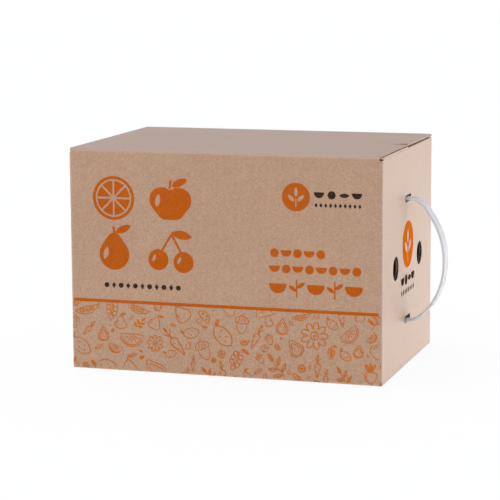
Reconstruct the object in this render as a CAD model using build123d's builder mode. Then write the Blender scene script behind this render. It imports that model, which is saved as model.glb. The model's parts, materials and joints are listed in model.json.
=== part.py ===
# Corrugated fruit carton with a plastic carrying strap on one end.
# Origin: centre of the carton's underside. +X points to the strap end, -Y to the printed front, +Z up.
from build123d import *
import math
import os

os.makedirs("parts", exist_ok=True)

# Carton, outside sizes in millimetres
length = 344.0  # X, over the end panels
width = 240.0  # Y, over the long panels
height = 240.0  # Z

# Corrugated board and its folds
board = 3.0  # thickness
crease_inner_radius = 0.2
seam_gap = 1.0  # between two flaps that meet
base_seam_shift = 2.0  # the base flaps meet this far behind the middle
flap_end_inset = 1.0  # a long flap stops this far behind the end panel's outer face
end_flap_length = 119.0  # from the end panel's outer face to the flap's free edge
end_flap_side_gap = 2.0  # to the long panels
corner_slot = 1.6  # the die-cut slot dips this far below the fold at each corner
flap_corner_radius = 2.5  # free corners of the flaps
glue_tab = 35.0  # lap inside the back panel
glue_edge_set = 0.6  # back panel's cut edge, from the carton's corner
flap_clearance = 0.3  # under a closed outer flap

# Hand and air holes in the end panels
vent_diameter = 26.0
vent_spacing = 114.0  # across the panel, centre to centre
vent_height = 114.0  # centre over the base

# Slots for the strap, in the right end panel only
slot_pitch = 132.0
slot_middle_height = 116.3
slot_height = 7.5
slot_corner_radius = 1.0
slot_side_play = 4.5  # beside the band at the end of its swing

# Carrying strap
strap_width = 14.0
grip_width = 18.0
strap_thickness = 3.2
strap_bow = 41.4  # middle of the band at its widest, from the panel
channel_width = 9.0  # shallow groove along both faces of the grip
channel_depth = 0.6
grip_taper = 14.0  # height over which the band widens to the grip
strap_swing = 25.0  # degrees to each side
anchor_length = 32.0  # bar behind the panel, across the slot
anchor_height = 9.0
anchor_thickness = 3.2
strap_clearance = 0.3  # to the panel and to the edges of the slots
upper_knee_out = 15.3  # where the band's straight runs would meet, from the panel
upper_shoulder_drop = 41.7  # under the upper slot
lower_shoulder_rise = 45.6  # over the lower slot
lower_knee_out = 27.4
lower_knee_rise = 17.2
lower_foot_out = 8.0
knee_radii = (24.0, 85.0, 75.0, 60.0, 11.0)  # from the top down

# Printed ink
ink = 0.1  # thickness
stripe_height = 75.8  # middle of the line round the long panels
stripe_thickness = 3.4
picture_size = 47.0
picture_columns = (-121.5, -57.5)
picture_rows = (187.5, 133.5)
# Rows of small shapes: from, to, middle height and size of a shape
caption_row = (-134.0, -46.0, 93.5, 7.0)
name_row = (99.5, 151.0, 198.4, 11.0)
note_row = (99.5, 151.0, 187.6, 5.0)
upper_row = (51.0, 113.0, 136.1, 12.0)
middle_row = (51.0, 151.5, 119.5, 12.0)
lower_row = (51.0, 152.0, 99.0, 19.0)
end_name_row = (-32.0, 32.0, 94.5, 15.0)
end_note_row = (-32.0, 32.0, 81.8, 7.0)
front_badge_x = 80.3
front_badge_height = 195.4
front_badge_size = 30.0
end_badge_height = 132.0
end_badge_size = 51.0

half_length = length / 2
half_width = width / 2
middle_x = half_length - board / 2  # middle of the board in an end panel
middle_y = half_width - board / 2  # middle of the board in a long panel
fold_radius = crease_inner_radius + board  # outside of a crease
crease = fold_radius - board / 2  # radius of the board's middle in a fold
end_flap_side = half_width - board - end_flap_side_gap  # from the middle to an end flap's side
hinge_height = height - board / 2
wall_top = height - board - flap_clearance
upper_slot_height = slot_middle_height + slot_pitch / 2
lower_slot_height = slot_middle_height - slot_pitch / 2


# Carton: four walls, glued base and the two end flaps of the lid, folded from one sheet
def panel_with_folds(start, turns, run):
    """Outline of a panel seen edge on: an optional fold, its straight run and the fold after it."""
    with BuildSketch() as outline:
        with BuildLine():
            if turns == 2:
                first = JernArc(start, (1, 0), crease, -90)
                start = first @ 1
            wall = Line(start, start + Vector(0, -run))
            JernArc(wall @ 1, (0, -1), crease, 90 if turns == 1 else -90)
        trace(line_width=board)
    return outline.sketch


def end_flaps(bottom):
    """The pair of end flaps of the lid or the base, flat, with their underside at one height."""
    reach = end_flap_length - fold_radius
    middle = half_length - fold_radius - reach / 2
    with BuildPart() as pair:
        with BuildSketch(Plane.XY.offset(bottom)) as outline:
            with Locations((middle, 0), (-middle, 0)):
                Rectangle(reach, 2 * end_flap_side)
            free = outline.vertices().filter_by_position(Axis.X, -half_length / 2, half_length / 2)
            fillet(free, radius=flap_corner_radius)
        extrude(amount=board)
    return pair.part


with BuildPart() as carton:
    # Outer base flaps, meeting near the middle, and the end pair glued on top of them
    with BuildSketch(Plane.XY):
        Rectangle(2 * (half_length - flap_end_inset), 2 * (half_width - fold_radius))
        with Locations((0, base_seam_shift)):
            Rectangle(length, seam_gap, mode=Mode.SUBTRACT)
    extrude(amount=board)
    add(end_flaps(board))
    # Long panels, with the fold to their base flap
    with BuildSketch(Plane.YZ):
        add(panel_with_folds(Vector(-middle_y, wall_top), 1, wall_top - fold_radius))
        mirror(about=Plane.YZ)
    extrude(amount=half_length - fold_radius, both=True)
    # End panels, with the folds to their flaps in the lid and the base
    end_run = wall_top - board - 2 * fold_radius
    end_start = Vector(half_length - fold_radius, wall_top - board / 2)
    with BuildSketch(Plane.XZ):
        add(panel_with_folds(end_start, 2, end_run))
    extrude(amount=end_flap_side, both=True)
    with BuildSketch(Plane.XZ.offset(end_flap_side)):
        add(panel_with_folds(end_start, 2, end_run).mirror(Plane.YZ))
    extrude(amount=board + fold_radius - half_width - end_flap_side)
    add(end_flaps(wall_top - board))
    # Upright folds between the walls; the left panel folds into the glue tab inside the back
    column_bottom = board + corner_slot
    right = half_length - fold_radius
    front = half_width - fold_radius
    with BuildSketch(Plane.XY.offset(column_bottom)):
        with BuildLine():
            CenterArc((right, front), crease, 0, 90)
            Line((middle_x, front), (middle_x, end_flap_side))
            CenterArc((right, -front), crease, 270, 90)
            Line((middle_x, -front), (middle_x, -end_flap_side))
            CenterArc((-right, -front), crease, 180, 90)
            Line((-middle_x, -front), (-middle_x, -end_flap_side))
            CenterArc((-right, front - board), crease, 90, 90)
        trace(line_width=board)
        with Locations((-right, middle_y - board)):
            Rectangle(glue_tab, board, align=(Align.MIN, Align.CENTER))
        with Locations((-right, middle_y)):
            Rectangle(fold_radius - glue_edge_set, board, align=(Align.MAX, Align.CENTER))
    extrude(amount=wall_top - corner_slot - column_bottom)
    # Air holes in both end panels
    with BuildSketch(Plane.YZ.offset(-length)):
        with Locations((-vent_spacing / 2, vent_height), (vent_spacing / 2, vent_height)):
            Circle(vent_diameter / 2)
    extrude(amount=2 * length, mode=Mode.SUBTRACT)
    # Strap slots in the right end panel
    swing = math.radians(strap_swing)
    slot_width = 2 * (
        strap_width / 2 / math.cos(swing) + board / 2 * math.tan(swing) + slot_side_play
    )
    with BuildSketch(Plane.YZ.offset(half_length)):
        with Locations((0, upper_slot_height), (0, lower_slot_height)):
            RectangleRounded(slot_width, slot_height, slot_corner_radius)
    extrude(amount=-2 * board, mode=Mode.SUBTRACT)
carton.part.label = "carton"
export_step(carton.part, "parts/carton.step")

# Outer lid flaps: each turns about the middle of the board at the top of its long panel
for side, name in ((-1, "front_top_flap"), (1, "rear_top_flap")):
    reach = middle_y - seam_gap / 2
    with BuildPart() as flap:
        with BuildSketch(Plane.YZ):
            with Locations((side * middle_y, hinge_height)):
                Circle(board / 2)
            with Locations((side * (seam_gap / 2 + reach / 2), hinge_height)):
                Rectangle(reach, board)
        extrude(amount=half_length - flap_end_inset, both=True)
        free = flap.edges().filter_by(Axis.Z).group_by(Axis.Y)[-1 if side < 0 else 0]
        fillet(free, radius=flap_corner_radius)
    flap.part.label = name
    export_step(flap.part, f"parts/{name}.step")


# Carrying strap: a moulded band bowed out through the two slots, held by a bar behind each
anchor_setback = (strap_clearance + anchor_length / 2 * math.sin(swing)) / math.cos(swing) + board
foot_height = lower_slot_height - slot_height / 2 + strap_clearance + strap_thickness / 2
head_height = upper_slot_height - strap_clearance
inside = half_length - anchor_setback
knees = (
    (inside, head_height),
    (half_length + upper_knee_out, head_height),
    (half_length + strap_bow, head_height - upper_shoulder_drop),
    (half_length + strap_bow, foot_height + lower_shoulder_rise),
    (half_length + lower_knee_out, foot_height + lower_knee_rise),
    (half_length + lower_foot_out, foot_height),
    (inside, foot_height),
)


def band(line_width):
    """The band seen from the side, at one thickness."""
    with BuildSketch() as outline:
        with BuildLine():
            FilletPolyline(*knees, radius=knee_radii)
        trace(line_width=line_width)
    return outline.sketch


with BuildPart() as handle_strap:
    with BuildSketch(Plane.XZ):
        add(band(strap_thickness))
    extrude(amount=grip_width / 2, both=True)
    # Seen from the end: narrow through the slots, wider along the grip
    top = head_height + strap_thickness
    bottom = foot_height - strap_thickness
    wide_top = head_height - upper_shoulder_drop / 2
    wide_bottom = foot_height + lower_knee_rise
    with BuildSketch(Plane.YZ.offset(inside)):
        with BuildLine():
            Polyline(
                (0, top),
                (strap_width / 2, top),
                (strap_width / 2, wide_top + grip_taper),
                (grip_width / 2, wide_top),
                (grip_width / 2, wide_bottom + grip_taper),
                (strap_width / 2, wide_bottom),
                (strap_width / 2, bottom),
                (0, bottom),
            )
            mirror(about=Plane.YZ)
        make_face()
    extrude(amount=anchor_setback + strap_bow + strap_thickness, mode=Mode.INTERSECT)
    # Shallow channel along both faces of the grip
    with BuildSketch(Plane.XZ):
        add(band(strap_thickness))
        add(band(strap_thickness - 2 * channel_depth), mode=Mode.SUBTRACT)
        with Locations((half_length + upper_knee_out / 2, slot_middle_height)):
            Rectangle(length, height, align=(Align.MIN, Align.CENTER), mode=Mode.INTERSECT)
    extrude(amount=channel_width / 2, both=True, mode=Mode.SUBTRACT)
    # Bars across the slots, behind the panel
    with BuildSketch(Plane.YZ.offset(inside)):
        with Locations((0, head_height), (0, foot_height)):
            RectangleRounded(anchor_length, anchor_height, anchor_height / 3)
    extrude(amount=-anchor_thickness)
handle_strap.part.label = "handle_strap"
export_step(handle_strap.part, "parts/handle_strap.step")


# Printing: flat fields of ink on the outside of the panels
def leaf(size):
    """A pointed leaf lying along X."""
    with BuildSketch() as shape:
        with BuildLine():
            SagittaArc((-size / 2, 0), (size / 2, 0), size / 5)
            SagittaArc((size / 2, 0), (-size / 2, 0), size / 5)
        make_face()
    return shape.sketch


def stalk(size, angle):
    """A short stalk rising from the top of a fruit, and a leaf beside it."""
    with BuildSketch() as shape:
        with Locations(Location((0, size / 10), angle)):
            Rectangle(size / 20, size / 5)
        with Locations(Location((size * 0.22, size / 7), 25)):
            add(leaf(size * 0.42))
    return shape.sketch


def orange_slice(size):
    """A cut orange: the peel as a ring round eight segments."""
    with BuildSketch() as shape:
        Circle(size / 2)
        Circle(size * 0.43, mode=Mode.SUBTRACT)
        Circle(size * 0.39)
        with PolarLocations(0, 4, angular_range=180):
            Rectangle(size * 0.8, size * 0.045, mode=Mode.SUBTRACT)
    return shape.sketch


def apple(size):
    """An apple with its dimple, stalk and leaf, and a highlight left open."""
    with BuildSketch() as shape:
        with Locations((-size * 0.22, 0), (size * 0.22, 0)):
            Circle(size * 0.28)
        with Locations((-size * 0.12, -size * 0.24), (size * 0.12, -size * 0.24)):
            Circle(size * 0.21)
        make_hull(shape.edges())
        with Locations((0, size * 0.36)):
            Circle(size * 0.13, mode=Mode.SUBTRACT)
        with Locations(Location((-size * 0.3, -size * 0.02), 80)):
            add(leaf(size * 0.3), mode=Mode.SUBTRACT)
        with Locations((0, size * 0.25)):
            add(stalk(size, -10))
    return shape.sketch


def pear(size):
    """A pear with its stalk and leaf, and a highlight left open."""
    with BuildSketch() as shape:
        with Locations((0, -size * 0.14)):
            Circle(size * 0.36)
        with Locations((0, size * 0.17)):
            Circle(size * 0.18)
        make_hull(shape.edges())
        with Locations(Location((-size * 0.2, -size * 0.12), 75)):
            add(leaf(size * 0.3), mode=Mode.SUBTRACT)
        with Locations((0, size * 0.3)):
            add(stalk(size, 8))
    return shape.sketch


def cherries(size):
    """Two cherries hanging from one leaf."""
    with BuildSketch() as shape:
        for foot in (-size * 0.3, size * 0.3):
            with BuildLine():
                Line((foot, -size * 0.15), (size * 0.02, size * 0.37))
            trace(line_width=size * 0.05)
        with Locations((-size * 0.3, -size * 0.22), (size * 0.3, -size * 0.26)):
            Circle(size * 0.24)
        with Locations(
            Location((-size * 0.4, -size * 0.18), 65),
            Location((size * 0.2, -size * 0.22), 65),
        ):
            add(leaf(size * 0.18), mode=Mode.SUBTRACT)
        with Locations(Location((size * 0.26, size * 0.36), -10)):
            add(leaf(size * 0.5))
    return shape.sketch


def ornament_row(left, right, middle, size, shapes):
    """Small shapes evenly spaced between two places across a panel."""
    step = (right - left - size) / (len(shapes) - 1)
    with BuildSketch() as row:
        for place, shape in enumerate(shapes):
            with Locations((left + size / 2 + place * step, middle)):
                add(shape(size))
    return row.sketch


def berry(size):
    """A round berry, drawn with twelve short sides."""
    with BuildSketch() as shape:
        RegularPolygon(radius=size * 0.4, side_count=12)
    return shape.sketch


def sprig(size):
    """A twig with two leaves."""
    with BuildSketch() as shape:
        Rectangle(size / 12, size)
        with Locations(
            Location((size * 0.24, size * 0.2), 35),
            Location((-size * 0.24, size * 0.02), 145),
        ):
            add(leaf(size * 0.56))
    return shape.sketch


def half_fruit(size):
    """A halved fruit, its cut side up, drawn with short sides."""
    with BuildSketch() as shape:
        with Locations((0, size * 0.2)):
            RegularPolygon(radius=size * 0.5, side_count=20)
        with Locations((0, size * 0.25)):
            Rectangle(size, size, align=(Align.CENTER, Align.MIN), mode=Mode.SUBTRACT)
    return shape.sketch


def seed(size):
    """A seed, as an upright diamond."""
    with BuildSketch() as shape:
        with BuildLine():
            Polyline((0, size / 2), (size / 3, 0), (0, -size / 2), (-size / 3, 0), close=True)
        make_face()
    return shape.sketch


def badge(size):
    """A round badge with a sprig of leaves left open in it."""
    with BuildSketch() as shape:
        Circle(size / 2)
        with Locations(
            Location((0, size * 0.17), 90),
            Location((-size * 0.17, -size * 0.04), 135),
            Location((size * 0.17, -size * 0.04), 45),
        ):
            add(leaf(size * 0.34), mode=Mode.SUBTRACT)
        with Locations((0, -size * 0.2)):
            Rectangle(size * 0.04, size * 0.3, mode=Mode.SUBTRACT)
    return shape.sketch


with BuildSketch() as panel_orange:
    with Locations((0, stripe_height)):
        Rectangle(2 * (half_length - fold_radius), stripe_thickness)
    pictures = ((orange_slice, apple), (pear, cherries))
    for picture_z, pair in zip(picture_rows, pictures):
        for picture_x, picture in zip(picture_columns, pair):
            with Locations((picture_x, picture_z)):
                add(picture(picture_size))
    add(ornament_row(*upper_row, (berry, half_fruit, berry, half_fruit, berry)))
    add(ornament_row(*middle_row, (half_fruit, berry) * 4))
    add(ornament_row(*lower_row, (half_fruit, sprig, half_fruit, sprig, half_fruit)))
    with Locations((front_badge_x, front_badge_height)):
        add(badge(front_badge_size))

with BuildSketch() as panel_black:
    add(ornament_row(*caption_row, (berry, seed) * 5 + (berry,)))
    add(ornament_row(*name_row, (half_fruit, berry, leaf, half_fruit)))
    add(ornament_row(*note_row, (seed,) * 10))

with BuildSketch() as end_orange:
    with Locations((0, end_badge_height)):
        add(badge(end_badge_size))

with BuildSketch() as end_black:
    add(ornament_row(*end_name_row, (half_fruit, berry, leaf, half_fruit)))
    add(ornament_row(*end_note_row, (seed,) * 8))

front_face = Plane(origin=(0, -half_width, 0), x_dir=(1, 0, 0), z_dir=(0, -1, 0))
rear_face = Plane(origin=(0, half_width, 0), x_dir=(-1, 0, 0), z_dir=(0, 1, 0))
end_face = Plane(origin=(half_length, 0, 0), x_dir=(0, 1, 0), z_dir=(1, 0, 0))
printing = {
    "front_print_orange": (front_face, panel_orange),
    "front_print_black": (front_face, panel_black),
    "rear_print_orange": (rear_face, panel_orange),
    "rear_print_black": (rear_face, panel_black),
    "end_print_orange": (end_face, end_orange),
    "end_print_black": (end_face, end_black),
}
for name, (face, artwork) in printing.items():
    with BuildPart() as print_field:
        with BuildSketch(face):
            add(artwork.sketch)
        extrude(amount=ink)
    print_field.part.label = name
    export_step(print_field.part, f"parts/{name}.step")
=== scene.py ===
import json
import math

import bmesh
import bpy
import numpy as np
from mathutils import Matrix, Vector


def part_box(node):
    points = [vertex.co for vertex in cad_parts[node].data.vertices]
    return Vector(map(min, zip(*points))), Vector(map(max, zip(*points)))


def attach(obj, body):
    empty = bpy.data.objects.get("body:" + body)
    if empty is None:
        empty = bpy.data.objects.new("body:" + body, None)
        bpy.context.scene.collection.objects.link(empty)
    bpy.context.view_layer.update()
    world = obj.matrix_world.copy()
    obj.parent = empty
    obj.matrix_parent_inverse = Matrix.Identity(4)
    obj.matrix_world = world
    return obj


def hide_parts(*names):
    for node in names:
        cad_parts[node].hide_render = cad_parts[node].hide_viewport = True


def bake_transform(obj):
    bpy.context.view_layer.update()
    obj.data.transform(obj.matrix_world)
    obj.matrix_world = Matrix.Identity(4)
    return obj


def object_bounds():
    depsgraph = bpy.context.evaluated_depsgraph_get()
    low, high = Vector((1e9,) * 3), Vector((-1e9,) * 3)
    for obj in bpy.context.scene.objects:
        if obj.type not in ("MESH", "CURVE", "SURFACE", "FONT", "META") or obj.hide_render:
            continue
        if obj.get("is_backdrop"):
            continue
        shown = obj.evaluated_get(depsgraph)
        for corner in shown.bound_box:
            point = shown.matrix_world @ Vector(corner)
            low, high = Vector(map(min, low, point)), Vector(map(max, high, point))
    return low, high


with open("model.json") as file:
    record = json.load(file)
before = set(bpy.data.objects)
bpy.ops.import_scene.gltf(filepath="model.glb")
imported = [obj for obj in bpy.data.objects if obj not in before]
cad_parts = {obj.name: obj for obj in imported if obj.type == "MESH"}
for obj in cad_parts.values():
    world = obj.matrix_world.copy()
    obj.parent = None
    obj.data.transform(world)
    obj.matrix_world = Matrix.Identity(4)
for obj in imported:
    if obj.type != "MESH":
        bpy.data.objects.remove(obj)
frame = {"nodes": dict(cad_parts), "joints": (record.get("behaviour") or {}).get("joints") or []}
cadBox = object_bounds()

mm = 0.001
scene = bpy.context.scene

# Places read from the frame
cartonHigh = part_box("carton")[1]
flapLow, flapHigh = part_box("front_top_flap")
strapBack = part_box("handle_strap")[0].x
frontHinge = next(joint["pos_m"] for joint in frame["joints"] if joint["name"] == "front_flap_fold")
hingeY = -frontHinge[1]
hingeZ = frontHinge[2]
halfLength = cartonHigh.x
halfWidth = cartonHigh.y
lidTop = flapHigh.z
board = flapHigh.z - flapLow.z

foldRadius = 3.2 * mm  # outside the carton's folds
flutePitch = 6.4 * mm
near = 0.01 * mm  # places closer than this are the same
print("frame loaded, board", round(board / mm, 2), "mm")


# Quads of a grid of rows by columns, whose last row or column may join the first
def gridFaces(rows, columns, joinRows=False, joinColumns=False):
    index = np.arange(rows * columns).reshape(rows, columns)
    index = np.pad(index, ((0, int(joinRows)), (0, int(joinColumns))), "wrap")
    corners = (index[:-1, :-1], index[1:, :-1], index[1:, 1:], index[:-1, 1:])
    return np.stack(corners, axis=-1).reshape(-1, 4)


def smoothByAngle(mesh, degrees):
    mesh.shade_smooth()
    mesh.set_sharp_from_angle(angle=math.radians(degrees))


def addObject(name, data):
    item = bpy.data.objects.new(name, data)
    scene.collection.objects.link(item)
    return item


def addPiece(name, points, faces, material, slot, smooth):
    mesh = bpy.data.meshes.new(name)
    mesh.from_pydata(np.asarray(points).reshape(-1, 3).tolist(), [], [list(face) for face in faces])
    mesh.update()
    mesh.materials.append(material)
    smoothByAngle(mesh, smooth)
    piece = addObject(name, mesh)
    return piece


# Piece of a run of closed rings of points, with a cap at each end
def addTube(name, points, material, slot, smooth):
    count, size = points.shape[:2]
    last = (count - 1) * size
    caps = [list(range(size))[::-1], list(range(last, last + size))]
    faces = gridFaces(count, size, joinColumns=True).tolist() + caps
    return addPiece(name, points, faces, material, slot, smooth)


# Smooth step from 0 at low to 1 at high
def ramp(value, low, high):
    t = np.clip((value - low) / (high - low), 0, 1)
    return t * t * (3 - 2 * t)


# Unit normals to the left of a polyline, from its central differences
def leftNormals(path, closed=False):
    if closed:
        along = np.roll(path, -1, axis=0) - np.roll(path, 1, axis=0)
    else:
        along = np.gradient(path, axis=0)
    along /= np.linalg.norm(along, axis=1, keepdims=True)
    return np.stack([-along[:, 1], along[:, 0]], axis=1)


# Points at even spacing along a polyline, by its running length
def evenPoints(path, spacing):
    steps = np.linalg.norm(np.diff(path, axis=0), axis=1)
    length = np.concatenate([[0], np.cumsum(steps)])
    places = np.linspace(0, length[-1], max(int(length[-1] / spacing), 2) + 1)
    return np.stack([np.interp(places, length, path[:, k]) for k in range(2)], axis=1)


# Straight runs between points, joined by tangent arcs of the given radii
def roundedRuns(points, radii, arcSteps):
    points = np.asarray(points, float)
    out = [points[:1]]
    for corner, before, after, radius in zip(points[1:-1], points[:-2], points[2:], radii):
        into = (corner - before) / np.linalg.norm(corner - before)
        away = (after - corner) / np.linalg.norm(after - corner)
        bend = math.acos(np.clip(into @ away, -1, 1))
        setback = radius * math.tan(bend / 2)
        side = np.sign(into[0] * away[1] - into[1] * away[0])
        normal = side * np.array([-into[1], into[0]])
        angle = np.linspace(0, bend, arcSteps)[:, None]
        centre = corner - into * setback + normal * radius
        out.append(centre + radius * (into * np.sin(angle) - normal * np.cos(angle)))
    out.append(points[-1:])
    return np.concatenate(out)


class NodeBuilder:
    def __init__(self, tree):
        self.tree = tree

    def add(self, kind, inputs=None, **settings):
        node = self.tree.nodes.new(kind)
        for key, value in settings.items():
            setattr(node, key, value)
        return self.fill(node, inputs or {})

    def fill(self, node, inputs):
        for key, value in inputs.items():
            self.put(node.inputs[key], value)
        return node

    def put(self, socket, value):
        if isinstance(value, bpy.types.NodeSocket):
            self.tree.links.new(value, socket)
        else:
            socket.default_value = value

    def math(self, operation, first, second=0.0, third=0.0, clamp=False):
        inputs = {0: first, 1: second, 2: third}
        return self.add("ShaderNodeMath", inputs, operation=operation, use_clamp=clamp).outputs[0]

    def plus(self, first, second):
        return self.math("ADD", first, second)

    def minus(self, first, second, clamp=False):
        return self.math("SUBTRACT", first, second, clamp=clamp)

    def times(self, first, second, clamp=False):
        return self.math("MULTIPLY", first, second, clamp=clamp)

    def mixFloat(self, factor, first, second):
        return self.add("ShaderNodeMix", {0: factor, 2: first, 3: second}).outputs[0]

    def mixColor(self, factor, first, second, blend="MIX"):
        inputs = {0: factor, 6: first, 7: second}
        return self.add("ShaderNodeMix", inputs, data_type="RGBA", blend_type=blend).outputs[2]

    def noise(self, vector, scale, detail, roughness):
        inputs = {"Vector": vector, "Scale": scale, "Detail": detail, "Roughness": roughness}
        return self.add("ShaderNodeTexNoise", inputs).outputs["Fac"]

    def stretched(self, vector, scale, turn=(0, 0, 0)):
        inputs = {"Vector": vector, "Rotation": turn, "Scale": scale}
        return self.add("ShaderNodeMapping", inputs).outputs[0]

    def smooth(self, value, low, high, first=0.0, second=1.0):
        inputs = {"Value": value, "From Min": low, "From Max": high, "To Min": first, "To Max": second}
        return self.add("ShaderNodeMapRange", inputs, interpolation_type="SMOOTHSTEP").outputs[0]

    def split(self, vector):
        return self.add("ShaderNodeSeparateXYZ", {0: vector}).outputs

    def objectPlace(self):
        return self.add("ShaderNodeTexCoord").outputs["Object"]

    def attribute(self, name):
        return self.add("ShaderNodeAttribute", attribute_name=name).outputs["Fac"]

    def bump(self, height):
        inputs = {"Height": height, "Strength": 1.0, "Distance": 1.0}
        return self.add("ShaderNodeBump", inputs).outputs[0]

    def group(self, tree, inputs):
        return self.add("ShaderNodeGroup", inputs, node_tree=tree).outputs


# Node group that makes floats from a place and other floats
def makeGroup(name, floats, outputs):
    tree = bpy.data.node_groups.new(name, "ShaderNodeTree")
    tree.interface.new_socket("Vector", in_out="INPUT", socket_type="NodeSocketVector")
    for label, value in floats.items():
        socket = tree.interface.new_socket(label, in_out="INPUT", socket_type="NodeSocketFloat")
        socket.default_value = value
    for label in outputs:
        tree.interface.new_socket(label, in_out="OUTPUT", socket_type="NodeSocketFloat")
    build = NodeBuilder(tree)
    return build, build.add("NodeGroupInput").outputs, build.add("NodeGroupOutput")


def newMaterial(name):
    material = bpy.data.materials.new(name)
    material.use_nodes = True
    material.node_tree.nodes.clear()
    build = NodeBuilder(material.node_tree)
    shader = build.add("ShaderNodeBsdfPrincipled")
    build.add("ShaderNodeOutputMaterial", {"Surface": shader.outputs[0]})
    return material, build, shader


def srgb(red, green, blue):
    parts = np.array([red, green, blue]) / 255
    linear = np.where(parts <= 0.04045, parts / 12.92, ((parts + 0.055) / 1.055) ** 2.4)
    return (*linear.tolist(), 1.0)


# Kraft paper. Each noise is its scale, detail and roughness
noiseSpan = (0.3, 0.7)  # most of a noise lies between these
fibre = {
    "cloud": (16.0, 3.0, 0.6),
    "patch": (95.0, 3.0, 0.65),
    "patchShare": 0.9,
    "patchHeight": 0.8,
    "grain": (620.0, 4.0, 0.72),
    "crossGrain": (1500.0, 2.0, 0.6),
    "crossStretch": (1.0, 1.0, 0.35),
    "crossShare": 0.6,
    "fleck": (430.0, 3.0, 0.5),
    "fleckStretch": (1.0, 1.0, 0.42),
    "fleckTurn": (0.4, 0.3, 0.5),
    "darkFlecks": (0.69, 0.76),
    "paleFlecks": (0.31, 0.25),
}
kraft = {
    "color": srgb(187, 147, 114),
    "edgeColor": srgb(176, 138, 108),
    # Painted shade: nearly black paper for the cut edges inside the air holes and strap slots, where
    # the board lies in shadow
    "holeShadeColor": srgb(42, 34, 29),
    "toneShares": (1.05, 1.35, 1.9),  # of the fibre tone in red, green and blue
    "cloud": 0.17,
    "grain": 0.92,
    "grainBump": 0.05 * mm,
    "dark": 0.70,
    "pale": 1.16,
    "darkShare": 0.55,
    "paleShare": 0.7,
    "roughness": (0.41, 0.59),
    "toneSpan": (-0.25, 0.25),
    "gloss": 0.55,
    "sheen": 0.08,
    "sheenRoughness": 0.7,
}
waves = {
    "uneven": (14.0, 2.0, 0.5),
    "weakest": 0.35,
    "bump": 0.035 * mm,
    "troughFrom": 0.35,
    "troughShadeShare": 0.025,
    "troughShadeColor": srgb(120, 92, 74),
    "warp": (26.0, 2.0, 0.55),
    "warpStretch": (0.6, 1.0, 1.0),
    "warpBump": 0.32 * mm,
}
# Paler kraft on the corner lines: rubbed paper and a painted highlight
scuffAndHighlight = {"color": srgb(212, 185, 166), "reach": 4 * mm, "noise": (260.0, 4.0, 0.7), "span": (0.38, 0.62)}


# Recycled fibre seen as cloudy patches, a fine two-way grain and sparse dark and pale flecks
def paperGroup():
    outputs = ("Tone", "Flecks", "Height")
    build, source, target = makeGroup("paperFibre", {"Cloud": 1.0, "Grain": 1.0}, outputs)
    place = source["Vector"]
    patch = build.noise(place, *fibre["patch"])
    crossGrain = build.noise(build.stretched(place, fibre["crossStretch"]), *fibre["crossGrain"])
    both = build.plus(build.noise(place, *fibre["grain"]), build.times(crossGrain, fibre["crossShare"]))
    cloudTone = build.times(build.minus(build.noise(place, *fibre["cloud"]), 0.5), source["Cloud"])
    patchTone = build.times(build.minus(patch, 0.5), build.times(source["Cloud"], fibre["patchShare"]))
    grainTone = build.times(build.minus(both, 0.5 * (1 + fibre["crossShare"])), source["Grain"])
    fleckPlace = build.stretched(place, fibre["fleckStretch"], fibre["fleckTurn"])
    flecks = build.noise(fleckPlace, *fibre["fleck"])
    pale = build.smooth(flecks, *fibre["paleFlecks"])
    dark = build.smooth(flecks, *fibre["darkFlecks"])
    build.fill(target, {
        "Tone": build.plus(build.plus(cloudTone, patchTone), grainTone),
        "Flecks": build.minus(pale, dark),
        "Height": build.plus(both, build.times(patch, fibre["patchHeight"])),
    })
    return build.tree


# Washboarding: the outer paper sinks a little between the flutes, a sine across them of uneven height;
# its Shadow output marks the troughs for painted shade
def washboardGroup():
    build, source, target = makeGroup("washboard", {"Across": 0.0}, ("Wave", "Shadow"))
    x, y = build.split(source["Vector"])[:2]
    place = build.mixFloat(source["Across"], x, y)
    wave = build.math("SINE", build.times(place, 2 * math.pi / flutePitch))
    noise = build.noise(source["Vector"], *waves["uneven"])
    uneven = build.smooth(noise, *noiseSpan, waves["weakest"], 1.0)
    trough = build.smooth(wave, waves["troughFrom"], 1.0)
    build.fill(target, {"Wave": build.times(wave, uneven), "Shadow": build.times(trough, uneven)})
    return build.tree


# Rubbed paper with a painted highlight at the upright folds and the lid's: 1 on the corner lines,
# fading over a reach and broken by noise, less where it is even
def foldScuffAndHighlightGroup():
    build, source, target = makeGroup("foldScuffAndHighlight", {"Even": 0.2}, ("ScuffAndHighlight",))
    x, y, z = build.split(source["Vector"])
    fromEnd = build.minus(halfLength, build.math("ABSOLUTE", x))
    fromSide = build.minus(halfWidth, build.math("ABSOLUTE", y))
    corner = build.math("MAXIMUM", fromSide, build.math("MINIMUM", fromEnd, build.minus(lidTop, z)))
    close = build.minus(1.0, build.math("DIVIDE", corner, scuffAndHighlight["reach"]), clamp=True)
    broken = build.smooth(build.noise(source["Vector"], *scuffAndHighlight["noise"]), *scuffAndHighlight["span"])
    build.fill(target, {"ScuffAndHighlight": build.times(close, build.mixFloat(source["Even"], broken, 1.0))})
    return build.tree


groups = {"paper": paperGroup(), "washboard": washboardGroup(), "scuffAndHighlight": foldScuffAndHighlightGroup()}


# Tone of paper at a place: base colour times one plus the fibre tone, stronger in blue, with flecks
def paperColor(build, place, color, look):
    inputs = {"Vector": place, "Cloud": look["cloud"], "Grain": look["grain"]}
    paper = build.group(groups["paper"], inputs)
    channels = [build.math("MULTIPLY_ADD", paper["Tone"], share, 1.0) for share in kraft["toneShares"]]
    shade = build.add("ShaderNodeCombineXYZ", dict(enumerate(channels))).outputs[0]
    flecked = colored = build.mixColor(1.0, color, shade, "MULTIPLY")
    for strength, share in ((kraft["dark"], -kraft["darkShare"]), (kraft["pale"], kraft["paleShare"])):
        fleckColor = build.mixColor(1.0, colored, (strength,) * 3 + (1,), "MULTIPLY")
        mask = build.times(paper["Flecks"], share, clamp=True)
        flecked = build.mixColor(mask, flecked, fleckColor)
    return flecked, paper


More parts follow.
